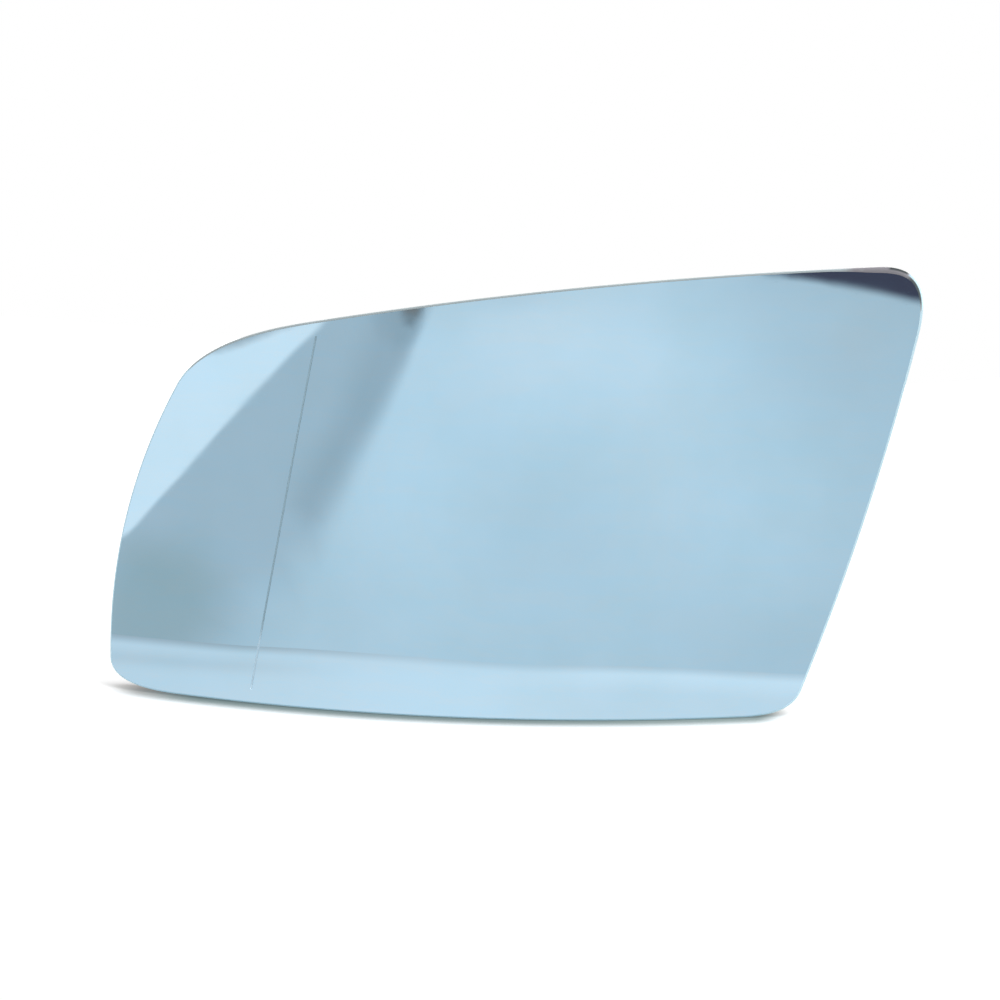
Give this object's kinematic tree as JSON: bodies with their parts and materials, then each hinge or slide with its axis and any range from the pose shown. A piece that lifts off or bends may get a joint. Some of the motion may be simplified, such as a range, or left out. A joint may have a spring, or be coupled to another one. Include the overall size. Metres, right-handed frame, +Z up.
{
  "type": "car door mirror glass",
  "caption": "Heated, curved, blue-tinted door mirror glass with a dividing line, bonded to a ribbed carrier with a snap collar and blade terminals.",
  "frame": {"origin": "on the axis of the snap collar, halfway along the gripping land of its lips", "axes": "+X across the glass towards the car, to the right as seen from the front; +Y away behind the glass, along the snap collar's axis, out of its mouth; +Z up. The reflecting face looks along -Y."},
  "size_m": [0.1896, 0.0175, 0.1056],
  "materials": {
    "mirror_glass": "polished",
    "ground_glass": "ground",
    "heater_film": "satin",
    "adhesive_foam": "matte",
    "black_plastic": "fine grained",
    "spring_steel": "drawn wire",
    "tinned_brass": "tinned",
    "rivet_brass": "bright"
  },
  "bodies": {
    "root": {"mirror_glass": "mirror_glass", "heater_mat": "heater_film", "adhesive_pad": "adhesive_foam", "carrier": "black_plastic", "retaining_spring": "spring_steel", "terminal_upper": "tinned_brass", "terminal_lower": "tinned_brass", "terminal_rivets": "rivet_brass"}
  },
  "joints": []
}
